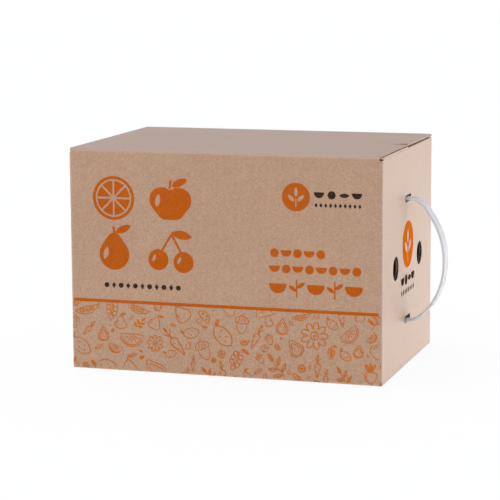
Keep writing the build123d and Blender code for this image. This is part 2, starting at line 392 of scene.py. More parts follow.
def kraftMaterial(name, color, wavy=True, scuffHighlight=0.45, even=0.2):
    material, build, shader = newMaterial(name)
    place = build.objectPlace()
    final, paper = paperColor(build, place, color, kraft)
    # Paler paper along the fold lines: partly rubbed paper, partly a painted highlight
    scuffedAndLit = build.group(groups["scuffAndHighlight"], {"Vector": place, "Even": even})["ScuffAndHighlight"]
    final = build.mixColor(build.times(scuffedAndLit, scuffHighlight), final, scuffAndHighlight["color"])
    height = build.times(paper["Height"], kraft["grainBump"])
    if wavy:
        warp = build.noise(build.stretched(place, waves["warpStretch"]), *waves["warp"])
        height = build.plus(height, build.times(warp, waves["warpBump"]))
        wave = build.group(groups["washboard"], {"Vector": place, "Across": build.attribute("across")})
        height = build.plus(height, build.times(wave["Wave"], waves["bump"]))
        # Painted shade: the troughs between the flutes are darkened in colour
        shadow = build.times(wave["Shadow"], waves["troughShadeShare"])
        final = build.mixColor(shadow, final, waves["troughShadeColor"])
    build.fill(shader, {
        "Base Color": final,
        "Roughness": build.smooth(paper["Tone"], *kraft["toneSpan"], *kraft["roughness"]),
        "Specular IOR Level": kraft["gloss"],
        "Sheen Weight": kraft["sheen"],
        "Sheen Roughness": kraft["sheenRoughness"],
        "Normal": build.bump(height),
    })
    return material


inks = {
    "roughness": 0.60,
    "cloud": 0.12,
    "grain": 0.45,
    "thin": (780.0, 3.0, 0.7),
    "thinSpan": (0.34, 0.62),
    "uneven": (45.0, 2.0, 0.5),
    "weakest": 0.95,
}


# Ink soaked into the paper: paper shows through pinholes and thin patches, and its pale shine is gone
def inkMaterial(name, ink, thinnest, gloss, varied=False):
    material, build, shader = newMaterial(name)
    place = build.objectPlace()
    bare, paper = paperColor(build, place, kraft["color"], kraft)
    inked = paperColor(build, place, ink, inks)[0]
    thin = build.smooth(build.noise(place, *inks["thin"]), *inks["thinSpan"], thinnest, 1.0)
    uneven = build.smooth(build.noise(place, *inks["uneven"]), *noiseSpan, inks["weakest"], 1.0)
    mask = build.times(thin, uneven)
    if varied:
        mask = build.times(mask, build.attribute("cover"))
    build.fill(shader, {
        "Base Color": build.mixColor(mask, bare, inked),
        "Roughness": inks["roughness"],
        "Specular IOR Level": gloss,
        "Normal": build.bump(build.times(paper["Height"], kraft["grainBump"])),
    })
    return material


milky = {
    "colors": (srgb(240, 243, 249), srgb(248, 250, 253)),
    "cloud": (60.0, 2.0, 0.5),
    "cloudStretch": (1.0, 1.0, 0.3),
    "fine": (900.0, 2.0, 0.5),
    "fineBump": 0.01 * mm,
    "roughness": (0.40, 0.50),
    "radius": 0.004,
}


def strapMaterial():
    material, build, shader = newMaterial("milkyStrap")
    place = build.objectPlace()
    cloud = build.noise(build.stretched(place, milky["cloudStretch"]), *milky["cloud"])
    fine = build.noise(place, *milky["fine"])
    build.fill(shader, {
        "Base Color": build.mixColor(build.smooth(cloud, *noiseSpan), *milky["colors"]),
        "Roughness": build.smooth(fine, *noiseSpan, *milky["roughness"]),
        "Subsurface Weight": 0.8,
        "Subsurface Radius": (milky["radius"],) * 3,
        "Subsurface Scale": 1.0,
        "IOR": 1.49,
        "Specular IOR Level": 0.15,
        "Normal": build.bump(build.times(fine, milky["fineBump"])),
    })
    return material


materials = {
    "board": kraftMaterial("kraftBoard", kraft["color"]),
    # Lid folds: an almost unbroken pale band of rubbed paper and painted highlight along the fold
    "fold": kraftMaterial("kraftFold", kraft["color"], wavy=False, scuffHighlight=0.95, even=0.85),
    "flute": kraftMaterial("flutedPaper", kraft["edgeColor"], wavy=False),
    # Nearly black copy of the kraft, painted shade for the cut edges inside the holes and slots
    "holeShade": kraftMaterial("holeShadePaper", kraft["holeShadeColor"], wavy=False),
    "orange": inkMaterial("orangeInk", srgb(207, 97, 2), 0.92, 0.04),
    # Copy of the orange ink made brighter for the end panel: painted light, the end's paler lighting
    # baked into its colour
    "endOrange": inkMaterial("endOrangeInk", srgb(255, 128, 8), 0.95, 0.0),
    "line": inkMaterial("orangeLine", srgb(221, 117, 0), 0.96, 0.04, varied=True),
    "black": inkMaterial("blackInk", srgb(44, 32, 26), 0.86, 0.0),
    "strap": strapMaterial(),
}
print("materials made")


# Board: merged copies of the CAD solids, their cut edges opened
edges = {
    "liner": 0.42 * mm,
    "depth": 1.9 * mm,
    "lip": 0.02 * mm,
    "flutePaper": 0.22 * mm,
    "fluteRows": (0.12 * mm, 1.0 * mm, 1.85 * mm),  # depths behind the cut
    "spacing": 0.8 * mm,
}
openings = {"halfSpan": 75 * mm, "low": 35 * mm, "high": 200 * mm, "skin": 0.5 * mm}
flapEdges = {"fromEnd": 4 * mm, "halfSpan": 115.5 * mm, "seamHalf": 3.5 * mm}


def mergedCopy(node):
    shape = bmesh.new()
    shape.from_mesh(frame["nodes"][node].data)
    bmesh.ops.remove_doubles(shape, verts=shape.verts, dist=0.2 * near)
    bmesh.ops.dissolve_limit(shape, angle_limit=0.01, verts=shape.verts, edges=shape.edges)
    return shape


# Rim of two papers round each cut edge, with the space between them sunk into the board
def openCutEdges(shape, isCutEdge):
    shape.normal_update()
    faces = [face for face in shape.faces if isCutEdge(face.calc_center_median(), face.normal)]
    steps = ((edges["liner"], 0, False), (edges["lip"], -edges["depth"], True))
    for rim, depth, even in steps:
        bmesh.ops.inset_region(shape, faces=faces, thickness=rim, depth=depth, use_even_offset=even)


# Edges of the air holes and strap slots, of the end and base flaps, and of the base seam
def cartonCutEdge(centre, normal):
    out, aside = abs(centre.x), abs(centre.y)
    inWall = -board - openings["skin"] < out - halfLength < openings["skin"] and abs(normal.x) < 0.2
    if inWall and aside < openings["halfSpan"] and openings["low"] < centre.z < openings["high"]:
        return True
    if abs(normal.z) > 0.2:
        return False
    onFlap = centre.z > cartonHigh.z - board or board < centre.z < 2 * board
    inside = out < halfLength - flapEdges["fromEnd"] and aside < flapEdges["halfSpan"]
    return onFlap and inside or centre.z < board and aside < flapEdges["seamHalf"]


# 1 on boards whose flutes are counted along Y: the end panels and their flaps
def markAcross(mesh):
    across = mesh.attributes.new("across", "FLOAT", "FACE")
    centres = np.array([face.center for face in mesh.polygons])
    normals = np.abs([face.normal for face in mesh.polygons])
    endPanel = (np.abs(centres[:, 0]) > halfLength - 1.1 * board) & (normals[:, 0] > 0.6)
    height = centres[:, 2]
    flap = (height > lidTop - 2.2 * board) & (height < lidTop - 1.05 * board)
    flap |= (height > 0.95 * board) & (height < 2.05 * board)
    flap &= normals[:, 2] > 0.6
    across.data.foreach_set("value", (endPanel | flap).astype(np.float32))


def finishBoard(shape, name, node, body):
    mesh = bpy.data.meshes.new(name)
    shape.to_mesh(mesh)
    shape.free()
    piece = addObject(name, mesh)
    mesh.materials.append(materials["board"])
    smoothByAngle(mesh, 28)
    markAcross(mesh)
    weighted = piece.modifiers.new("evenFaces", "WEIGHTED_NORMAL")
    weighted.keep_sharp = True
    weighted.weight = 80
    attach(piece, body)
    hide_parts(node)


pressed = {"power": 30, "halfSpan": 115.1 * mm, "within": 0.1, "from": 0.02}  # last two in radii


# The load pressed the end panels' folds square: points of their outer arcs go out along the radius from
# the circle to a superellipse
def pressEndFolds(shape):
    power = pressed["power"]
    middleX = halfLength - foldRadius
    for vert in shape.verts:
        for middleZ, way in ((board + foldRadius, -1), (cartonHigh.z - foldRadius, 1)):
            u = (abs(vert.co.x) - middleX) / foldRadius
            v = way * (vert.co.z - middleZ) / foldRadius
            onArc = min(u, v) > pressed["from"] and abs(math.hypot(u, v) - 1) < pressed["within"]
            if onArc and abs(vert.co.y) < pressed["halfSpan"]:
                grow = (u**power + v**power) ** (-1 / power)
                vert.co.x = math.copysign(middleX + foldRadius * u * grow, vert.co.x)
                vert.co.z = middleZ + way * foldRadius * v * grow


baseCorners = {
    "flapGap": 0.1 * mm,  # to the end panels' faces
    "foldGap": 1.4 * mm,
    "aside": 116.75 * mm,
    "height": 1.6 * board,
    "rimFrom": 0.3 * mm,  # over the flaps
    "rim": 0.45 * mm,
}


# The base corners close: ends of flaps and long folds come out, the panels' rims come down to them
def closeBaseCorners(shape):
    for vert in shape.verts:
        out = abs(vert.co.x)
        if vert.co.z < board + near and abs(out - flapHigh.x) < 5 * near:
            vert.co.x = math.copysign(halfLength - baseCorners["flapGap"], vert.co.x)
        elif abs(vert.co.y) > baseCorners["aside"] and vert.co.z < baseCorners["height"]:
            if vert.co.z > board + baseCorners["rimFrom"] and out > halfLength - foldRadius - near:
                vert.co.z = board + baseCorners["rim"]
            elif abs(out - halfLength + foldRadius) < near:
                vert.co.x = math.copysign(halfLength - baseCorners["foldGap"], vert.co.x)


blank = mergedCopy("carton")
openCutEdges(blank, cartonCutEdge)
pressEndFolds(blank)
closeBaseCorners(blank)
finishBoard(blank, "foldedCarton", "carton", "carton_body")

# The rear flap's free corner stands up at the strap's end
rearLift = {"height": 0.8 * mm, "from": 145 * mm, "to": 171 * mm, "cuts": 9}

# The lid flaps' free edges, within reach of the middle, are moved towards each other
closeUp = {"by": 0.42 * mm, "reach": 3 * mm}

# Ends of the lid flaps, some by side: the knife pressed paper over the flutes, and the lower paper lies
# down on the front and stands up at the rear
lidEnds = {
    "shift": {-1: 0.9 * mm, 1: 0.2 * mm},  # outwards at the strap's end
    "plainShift": -0.8 * mm,  # outwards at the plain end
    "within": 2.6 * mm,
    "tucked": {-1: 0.9 * mm, 1: 1.9 * mm},
    "lower": {-1: -0.22 * mm, 1: 1.45 * mm},
    "reach": 2 * mm,
}


# Height of the rear flap over its flat place: none at the fold, most at the free corner
def rearRise(x, y):
    fromFold = np.clip((hingeY - y) / hingeY, 0, 1)
    return rearLift["height"] * fromFold * ramp(x, rearLift["from"], rearLift["to"])


# Shift of a flap's end along X, fading out within a short reach
def endShift(x, side):
    shift = np.where(x > 0, lidEnds["shift"][side], lidEnds["plainShift"])
    return np.sign(x) * shift * np.clip(1 - (flapHigh.x - np.abs(x)) / lidEnds["within"], 0, 1)


def addLidFlap(name, side):
    shape = mergedCopy(name + "_top_flap")
    openCutEdges(shape, lambda centre, normal: abs(normal.z) < 0.1 and abs(centre.y) < hingeY - 1 * mm)
    nearEnd = flapHigh.x - lidEnds["within"]
    lifted = np.linspace(rearLift["from"], rearLift["to"], rearLift["cuts"])
    for place in (*lifted, nearEnd, -nearEnd):
        parts = [*shape.verts, *shape.edges, *shape.faces]
        bmesh.ops.bisect_plane(shape, geom=parts, plane_co=(place, 0, 0), plane_no=(1, 0, 0))
    for vert in shape.verts:
        if abs(vert.co.y) < closeUp["reach"]:
            vert.co.y -= side * closeUp["by"]
        share = 1 - (flapHigh.x - abs(vert.co.x)) / lidEnds["reach"]
        level = vert.co.z - flapLow.z
        if share > 0 and abs(level - edges["liner"]) < 3 * near:
            vert.co.z += lidEnds["tucked"][side]
        elif share > 0 and level < near:
            vert.co.z += lidEnds["lower"][side] * share
        vert.co.x += endShift(vert.co.x, side)
        if side > 0:
            vert.co.z += rearRise(vert.co.x, vert.co.y)
    finishBoard(shape, name + "LidFlap", name + "_top_flap", name + "_flap")


lidSides = (("front", -1), ("rear", 1))
for name, side in lidSides:
    addLidFlap(name, side)
print("boards cut from the frame")


# Which of a sheet's across, along and up lies on X, Y and Z
layFlat = [0, 1, 2]
layEnd = [1, 0, 2]
standEnd = [2, 0, 1]


# Fluted paper in the open edges: a sheet at middle height plus amplitude times the sine of the place
# across the flutes, on rows that run along the cut edge at growing depth
def fluteSheet(outline, inward, middle, axes, closed=False):
    path = evenPoints(np.asarray(outline, float), edges["spacing"])
    if closed:
        path = path[:-1]
    normals = inward * leftNormals(path, closed)
    depth = np.array(edges["fluteRows"])[None, :, None]
    flat = path[:, None, :] + normals[:, None, :] * depth
    amplitude = board / 2 - edges["liner"] - edges["flutePaper"] / 2
    rise = middle + amplitude * np.sin(2 * math.pi * flat[..., 0] / flutePitch)
    points = np.stack([flat[..., 0], flat[..., 1], rise], axis=-1)[..., axes].reshape(-1, 3)
    return points, gridFaces(len(path), depth.size, joinRows=closed)


# One set of points and faces from many
def joined(sheets):
    starts = np.cumsum([0, *[len(points) for points, faces in sheets]])
    faces = np.concatenate([faces + start for (_, faces), start in zip(sheets, starts)])
    return np.concatenate([points for points, faces in sheets]), faces


def addFlutes(name, sheets, body, paper="flute"):
    piece = addPiece(name, *joined(sheets), materials[paper], "kraft_board", 60)
    solid = piece.modifiers.new("paper", "SOLIDIFY")
    solid.thickness = edges["flutePaper"]
    solid.offset = 0
    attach(piece, body)


# Free edges of a flap as seen from above: down one side, across and back
def flapOutline(halfSpan, root, free, cornerRadius=2.5 * mm, arcSteps=5):
    corners = ((-halfSpan, root), (-halfSpan, free), (halfSpan, free), (halfSpan, root))
    return roundedRuns(corners, (cornerRadius, cornerRadius), arcSteps)


lidFlap = {"free": 0.5 * mm, "root": hingeY - 3 * mm}  # places across the lid


def addLidFlutes(name, side):
    outline = flapOutline(flapHigh.x, side * lidFlap["root"], side * (lidFlap["free"] - closeUp["by"]))
    points, faces = fluteSheet(outline, side, hingeZ, layFlat)
    points[:, 0] += endShift(points[:, 0], side)
    if side > 0:
        points[:, 2] += rearRise(points[:, 0], points[:, 1])
    addFlutes(name + "Flutes", [(points, faces)], name + "_flap")


for name, side in lidSides:
    addLidFlutes(name, side)

# Inner flaps at both ends of lid and base, and the seam between the long base flaps
innerFlap = {"free": 53.0 * mm, "halfSpan": 115.0 * mm, "root": halfLength - 5 * mm}
baseSeam = {"place": 2.0 * mm, "halfGap": 0.5 * mm}


def innerSheets():
    for side in (-1, 1):
        outline = flapOutline(innerFlap["halfSpan"], side * innerFlap["root"], side * innerFlap["free"])
        for middle in (cartonHigh.z - board / 2, 1.5 * board):
            yield fluteSheet(outline, side, middle, layEnd)
    for side in (-1, 1):
        free = baseSeam["place"] + side * baseSeam["halfGap"]
        yield fluteSheet([(-flapHigh.x, free), (flapHigh.x, free)], side, board / 2, layFlat)


addFlutes("cartonFlutes", list(innerSheets()), "carton_body")

airHoles = {"radius": 13.0 * mm, "spacing": 114.0 * mm, "height": 114.0 * mm}
slots = {"heights": (182.3 * mm, 50.3 * mm), "height": 7.5 * mm, "width": 25.85 * mm}


def holeSheets():
    angle = np.linspace(0, 2 * math.pi, 73)
    circle = np.stack([np.cos(angle), np.sin(angle)], axis=1) * airHoles["radius"]
    corners = np.array([(-1, -1), (1, -1), (1, 1), (-1, 1), (-1, -1)])
    rectangle = corners * (slots["width"] / 2, slots["height"] / 2)
    holes = [(side, circle + (place * airHoles["spacing"] / 2, airHoles["height"]))
             for side in (-1, 1) for place in (-1, 1)]
    holes += [(1, rectangle + (0, height)) for height in slots["heights"]]
    middle = halfLength - board / 2
    return [fluteSheet(outline, -1, side * middle, standEnd, closed=True) for side, outline in holes]


# The cut edges in the holes and slots get the nearly black painted-shade paper
addFlutes("holeFlutes", holeSheets(), "carton_body", "holeShade")
print("flutes laid in the cut edges")


# Lid folds: the board's section round the hinge, up the wall, round to the flap and back along the
# inside, a little fuller at the crease, drawn along X
lidFold = {
    "down": 5.0 * mm,
    "along": 5.0 * mm,
    "gap": 0.2 * mm,  # from arc to straight runs
    "steps": 9,
    "bulge": 0.10 * mm,
    "bulgeFade": (1.2, 3.2),  # in half thicknesses from the hinge
    "proud": 0.03 * mm,
    "sunk": 0.05 * mm,
    "ends": (1.8 * mm, 3.2 * mm),  # left to the carton's ends
}


def foldSection():
    half = board / 2
    steps = lidFold["steps"]
    down = np.linspace(-half - lidFold["down"], -lidFold["gap"], steps)
    angle = np.linspace(math.pi, math.pi / 2, steps)
    along = np.linspace(lidFold["gap"], half + lidFold["along"], steps)
    backRun = np.linspace(half + lidFold["along"], half, steps)
    downRun = np.linspace(-half, -half - lidFold["down"], steps)[1:]
    arc = (half * np.cos(angle), half * np.sin(angle))
    runs = ((-half, down), arc, (along, half), (backRun, -half), (half, downRun))
    section = np.concatenate([np.stack(np.broadcast_arrays(*run), axis=1) for run in runs])
    reach = np.linalg.norm(section, axis=1)
    bulge = lidFold["bulge"] * (1 - ramp(reach / half, *lidFold["bulgeFade"]))
    proud = np.where(reach > half + 0.8 * lidFold["down"], -lidFold["sunk"], lidFold["proud"])
    return section + leftNormals(section, closed=True) * (proud + bulge)[:, None]


def addFold(name, side):
    section = foldSection()
    stations = np.array([-halfLength + lidFold["ends"][0], 0, halfLength - lidFold["ends"][1]])
    y = side * (hingeY - section[:, 0])
    z = hingeZ + section[:, 1]
    points = np.stack(np.broadcast_arrays(stations[:, None], y, z), axis=-1)
    fold = addTube(name + "LidFold", points, materials["fold"], "kraft_board", 40)
    shape = bmesh.new()
    shape.from_mesh(fold.data)
    bmesh.ops.recalc_face_normals(shape, faces=shape.faces)
    shape.to_mesh(fold.data)
    shape.free()
    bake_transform(fold)


for name, side in lidSides:
    addFold(name, side)
print("lid folds bent over the hinges")


# Strap: a rounded band with a shallow channel, along its bowed line in the XZ plane
strap = {
    "width": 14.0 * mm,
    "gripWidth": 18.0 * mm,
    "thickness": 3.2 * mm,
    "channel": 9.0 * mm,
    "channelDepth": 0.85 * mm,
    "channelEdge": (0.42, 0.60),  # in channel widths from the middle
    "channelFrom": (halfLength - 1 * mm, halfLength + 4 * mm),
    "squareness": 7.0,
    "headHeight": 182.0 * mm,
    "footHeight": 48.45 * mm,
    "gripTop": (168.0 * mm, 179.0 * mm),
    "gripBottom": (58.0 * mm, 74.0 * mm),
    "arcSteps": 24,
    "smoothing": 9,
    "spacing": 0.9 * mm,
    "round": 64,
}

# Corners of the strap's line, in mm: out of the panel, over the head or foot, radius
knees = {
    "head": ((15.3, 0.0, 24.0), (41.4, -41.7, 85.0)),
    "foot": ((41.4, 45.6, 75.0), (27.4, 17.2, 60.0), (8.0, 0.0, 11.0)),
}

# Bars behind the panel: boxes with rounded ends and eased edges
strapBar = {"size": (3.2 * mm, 32.0 * mm, 9.0 * mm), "endPower": 0.42, "edgePower": 0.35, "round": 48,
            "rows": 13, "turn": 1.5}


def strapLine():
    inside = strapBack + strapBar["size"][0]
    runs = [(inside, strap["headHeight"])]
    radii = []
    for part in ("head", "foot"):
        for out, rise, radius in knees[part]:
            runs.append((halfLength + out * mm, strap[part + "Height"] + rise * mm))
            radii.append(radius * mm)
    runs.append((inside, strap["footHeight"]))
    line = evenPoints(roundedRuns(runs, radii, strap["arcSteps"]), strap["spacing"])
    reach = strap["smoothing"]
    window = np.hanning(2 * reach + 1)
    window /= window.sum()
    padded = np.pad(line, ((reach, reach), (0, 0)), "reflect", reflect_type="odd")
    return np.stack([np.convolve(padded[:, k], window, mode="valid") for k in range(2)], axis=1)


# Cosine or sine of a superellipse
def squared(value, power):
    return np.sign(value) * np.abs(value) ** power


# Superellipse of the band's width and thickness, thinned along the middle of both faces
def strapPoints(line):
    normals = leftNormals(line)
    angle = np.linspace(0, 2 * math.pi, strap["round"], endpoint=False)
    power = 2 / strap["squareness"]
    onGrip = ramp(line[:, 1], *strap["gripBottom"]) * (1 - ramp(line[:, 1], *strap["gripTop"]))
    width = strap["width"] + (strap["gripWidth"] - strap["width"]) * onGrip
    across = squared(np.cos(angle), power)[None, :] * width[:, None] / 2
    middle = 1 - ramp(np.abs(across) / strap["channel"], *strap["channelEdge"])
    outside = ramp(line[:, 0], *strap["channelFrom"])[:, None]
    thick = strap["thickness"] / 2 - strap["channelDepth"] * middle * outside
    lift = squared(np.sin(angle), power)[None, :] * thick
    x, z = (line[:, k, None] + normals[:, k, None] * lift for k in range(2))
    return np.stack([x, across, z], axis=-1)


def barPoints(height):
    halfX, halfY, halfZ = (size / 2 for size in strapBar["size"])
    turn = np.linspace(-math.pi, math.pi, strapBar["round"], endpoint=False)
    u, v = np.meshgrid(turn, np.linspace(-strapBar["turn"], strapBar["turn"], strapBar["rows"]))
    spread = np.abs(np.cos(v)) ** strapBar["edgePower"]
    x = squared(np.sin(v), strapBar["edgePower"]) * halfX
    y = squared(np.cos(u), strapBar["endPower"]) * spread * halfY
    z = squared(np.sin(u), strapBar["endPower"]) * spread * halfZ
    return np.stack([strapBack + halfX + x, y, height + z], axis=-1)


band = addTube("carryStrap", strapPoints(strapLine()), materials["strap"], "white_strap", 50)
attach(band, "strap")
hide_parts("handle_strap")
for name, height in (("strapHeadBar", strap["headHeight"]), ("strapFootBar", strap["footHeight"])):
    piece = addTube(name, barPoints(height), materials["strap"], "white_strap", 50)
    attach(piece, "strap")
print("strap swept")

# Printing carried over from the frame
for node, piece in frame["nodes"].items():
    if "print" in node:
        # The end panel's print takes the brighter painted-light copy of the orange ink
        ink = "black" if "black" in node else "endOrange" if "end" in node else "orange"
        for place in piece.material_slots:
            place.material = materials[ink]
print("ink given to the printed fields")


# Garden drawings in line: each is a list of strokes, in units of its half size

# Smooth line through all points but the outer two, by Catmull-Rom spans
def spline(points, steps=7):
    t = np.linspace(0, 1, steps, endpoint=False)[None, :, None]
    a, b, c, d = (points[k:len(points) - 3 + k][:, None, :] for k in range(4))
    bend = (2 * a - 5 * b + 4 * c - d) * t**2 + (3 * b - a - 3 * c + d) * t**3
    spans = 0.5 * (2 * b + (c - a) * t + bend)
    return np.concatenate([spans.reshape(-1, 2), points[-2:-1]])


def stroke(*places):
    return spline(np.pad(np.array(places, float), ((1, 1), (0, 0)), "reflect", reflect_type="odd"))


def loop(*places):
    return spline(np.pad(np.array(places, float), ((1, 2), (0, 0)), "wrap"))


def ring(x, y, radius, first=0, last=360):
    angle = np.radians(np.linspace(first, last, 25))
    return np.stack([x + radius * np.cos(angle), y + radius * np.sin(angle)], axis=1)


def rings(*circles):
    return [ring(*circle) for circle in circles]


def moved(strokes, x, y, turn, scale):
    c, s = math.cos(math.radians(turn)) * scale, math.sin(math.radians(turn)) * scale
    return [points @ np.array([[c, s], [-s, c]]) + (x, y) for points in strokes]


# A side mirrored, to go back along, and a whole outline from its side and two heights in the middle
def flipped(side):
    return [(-x, y) for x, y in side[::-1]]


def mirrored(first, side, last):
    return [(0, first), *side, (0, last), *flipped(side)]


def rays(degrees, reaches):
    return [np.outer(reaches, (math.cos(angle), math.sin(angle))) for angle in np.radians(degrees)]


def leaf():
    outline = loop((-1, 0), (-0.45, 0.36), (0.25, 0.38), (1, 0), (0.25, -0.3), (-0.45, -0.34))
    return [outline, stroke((-1.2, -0.06), (-0.3, 0.03), (0.6, 0.0))]


def leaves(scale, *places):
    return [part for x, y, turn in places for part in moved(leaf(), x, y, turn, scale)]


def pear():
    body = mirrored(-0.98, [(-0.6, -0.85), (-0.8, -0.35), (-0.5, 0.15), (-0.28, 0.5)], 0.72)
    shine = stroke((-0.52, -0.55), (-0.5, -0.25), (-0.36, 0.05))
    stem = stroke((0, 0.72), (0.04, 0.95), (0.18, 1.15))
    return [loop(*body), shine, stem, *leaves(0.3, (0.42, 0.98, 12))]


def lemon():
    upper = [(-0.98, 0), (-0.78, 0.34), (-0.3, 0.58), (0.3, 0.58), (0.74, 0.36), (1.02, 0.06)]
    lower = [(0.98, -0.08), (0.74, -0.38), (0.3, -0.6), (-0.3, -0.6), (-0.78, -0.34)]
    pores = rings((-0.4, 0.15, 0.03), (-0.1, -0.25, 0.03), (0.25, 0.2, 0.03), (0.45, -0.15, 0.03))
    return [loop(*upper, *lower), *pores, *leaves(0.3, (-1.1, 0.35, 120))]


def wedge():
    rimAndPith = rings((0, 0, 1.0, 180, 360), (0, -0.06, 0.8, 180, 360))
    cut = np.array([(-1, 0), (0, 0.03), (1, 0)])
    return [*rimAndPith, cut, *rays((-150, -120, -90, -60, -30), (0.14, 0.45, 0.74))]


def carrot():
    body = mirrored(0.4, [(-0.3, 0.22), (-0.26, -0.2), (-0.12, -0.75)], -1.1)
    marks = ((-0.27, 0.05, 0.24), (0.04, -0.2, 0.2), (-0.18, -0.45, 0.16), (0.0, -0.7, 0.12))
    creases = [np.array([(x, y), (x + w / 2, y - 0.02), (x + w, y)]) for x, y, w in marks]
    tops = [stroke((0, 0.4), (0.1 * k, 0.75), (0.3 * k, 1.05)) for k in (-1.2, 0, 1.2)]
    return [loop(*body), *creases, *tops, *leaves(0.18, (0, 1.2, 90))]


def pod():
    shell = loop((-1.1, 0.14), (-0.6, -0.3), (0.1, -0.42), (0.7, -0.24), (1.15, 0.24))
    lip = stroke((-1.0, 0.1), (-0.4, 0.22), (0.3, 0.24), (1.1, 0.24))
    peas = rings((-0.55, -0.02, 0.15), (-0.2, -0.08, 0.15), (0.17, -0.08, 0.15), (0.54, 0.0, 0.15))
    return [shell, lip, *peas, stroke((1.1, 0.22), (1.25, 0.32), (1.4, 0.28))]


def daisy():
    angle = np.linspace(0, 2 * math.pi, 145)
    reach = 0.42 + 0.56 * np.abs(np.cos(4.5 * angle)) ** 0.6
    petals = np.stack([reach * np.cos(angle), reach * np.sin(angle)], axis=1)
    return [petals, *rings((0, 0, 0.28), (0.02, 0.0, 0.08))]


def sprig():
    stem = stroke((-0.1, -1.15), (0.05, -0.5), (-0.02, 0.2), (0.08, 0.8))
    pairs = ((-0.42, -0.45, 150), (0.44, -0.25, 28), (-0.4, 0.2, 140), (0.42, 0.4, 38), (0.1, 1.05, 82))
    return [stem, *leaves(0.36, *pairs)]


def mushroom():
    half = [(-0.95, 0.02), (-0.8, 0.5), (-0.35, 0.86)]
    side = [(-0.27, -0.1), (-0.24, -0.55), (-0.34, -0.92)]
    cap = loop(*half, *flipped(half), (0.35, -0.1), (-0.35, -0.1))
    stem = stroke(*side, (0, -1.02), *flipped(side))
    return [cap, stem, *rings((-0.35, 0.4, 0.13), (0.2, 0.55, 0.1), (0.5, 0.24, 0.08))]


def radish():
    body = mirrored(0.28, [(-0.5, 0.2), (-0.64, -0.15), (-0.4, -0.58)], -0.86)
    tail = stroke((0, -0.86), (0.06, -1.05), (-0.08, -1.25))
    tops = leaves(0.4, (-0.32, 0.72, 118), (0.3, 0.72, 62), (0, 0.72, 90))
    return [loop(*body), tail, *tops, stroke((-0.4, -0.3), (-0.42, -0.08), (-0.3, 0.1))]


def acorn():
    cap = loop((-0.62, 0.12), (-0.5, 0.55), (0, 0.72), (0.5, 0.55), (0.62, 0.12), (0, 0.02))
    nut = stroke((-0.52, 0.06), (-0.46, -0.5), (0, -1.02), (0.46, -0.5), (0.52, 0.06))
    hatch = [stroke((x, 0.14), (x * 0.9, 0.38), (x * 0.6, 0.6)) for x in (-0.3, 0, 0.3)]
    return [cap, nut, *hatch, stroke((0, 0.72), (0.05, 0.9), (0.2, 1.05))]


def fig():
    outer = mirrored(-0.95, [(-0.62, -0.7), (-0.74, -0.2), (-0.42, 0.35)], 0.95)
    inner = [(0.7 * x, 0.72 * y - 0.12) for x, y in outer]
    places = ((-0.25, -0.35), (0.12, -0.45), (-0.08, -0.15), (0.22, -0.12), (-0.2, 0.05))
    seeds = [np.array([(x, y), (x + 0.03, y + 0.06), (x + 0.05, y + 0.12)]) for x, y in places]
    return [loop(*outer), loop(*inner), *seeds]


def currant():
    stem = stroke((0.1, 1.2), (0, 0.7), (0.05, 0), (-0.05, -0.6))
    berries = ((-0.28, 0.5), (0.3, 0.38), (-0.34, 0.08), (0.36, -0.02), (-0.3, -0.34), (0.3, -0.42),
               (0, -0.8))
    return [stem, *[ring(x, y, 0.21) for x, y in berries], *leaves(0.34, (0.5, 1.05, -10))]


def berry():
    return [*rings((0, 0, 0.85), (0.1, 0.2, 0.25)), stroke((-0.55, -0.3), (-0.3, -0.55), (0.05, -0.62))]


def drop():
    return [loop(*mirrored(1, [(-0.45, 0.1), (-0.5, -0.4)], -0.85))]


def burst():
    return rays(range(0, 360, 45), (0.35, 0.65, 0.95))


# Kinds of drawing, by the half size in mm from which they are used
kinds = {
    5: (pear, lemon, carrot, pod, daisy, sprig, mushroom, radish, acorn, fig, currant, wedge),
    2: (berry, leaf, daisy, drop, wedge),
    0: (leaf, drop, burst, berry),
}
layout = {  # of the drawings, lengths in mm
    "halfSizes": (14.0, 11.0, 8.6, 6.6, 4.6, 2.8, 1.8),  # the largest placed first
    "tries": (14, 120, 260, 420, 520, 220, 60),
    "clearance": (1.6, 1.5, 1.4, 1.3, 1.1, 0.9, 0.8),  # kept free round each
    "turn": (-50, 50),
    "scale": (0.9, 1.1),
    "cover": (0.78, 1.0),
    "inside": 0.45,  # share of a drawing that lies on the band
    "bottom": 0.8,
    "top": 74.0,
    "fromEnd": 1.0,
    "line": 0.98,
    "lineShare": (0.64, 0.035),  # and growth with the half size
    "proud": 0.10,
    "layer": 0.003,
    "seed": 11,
}


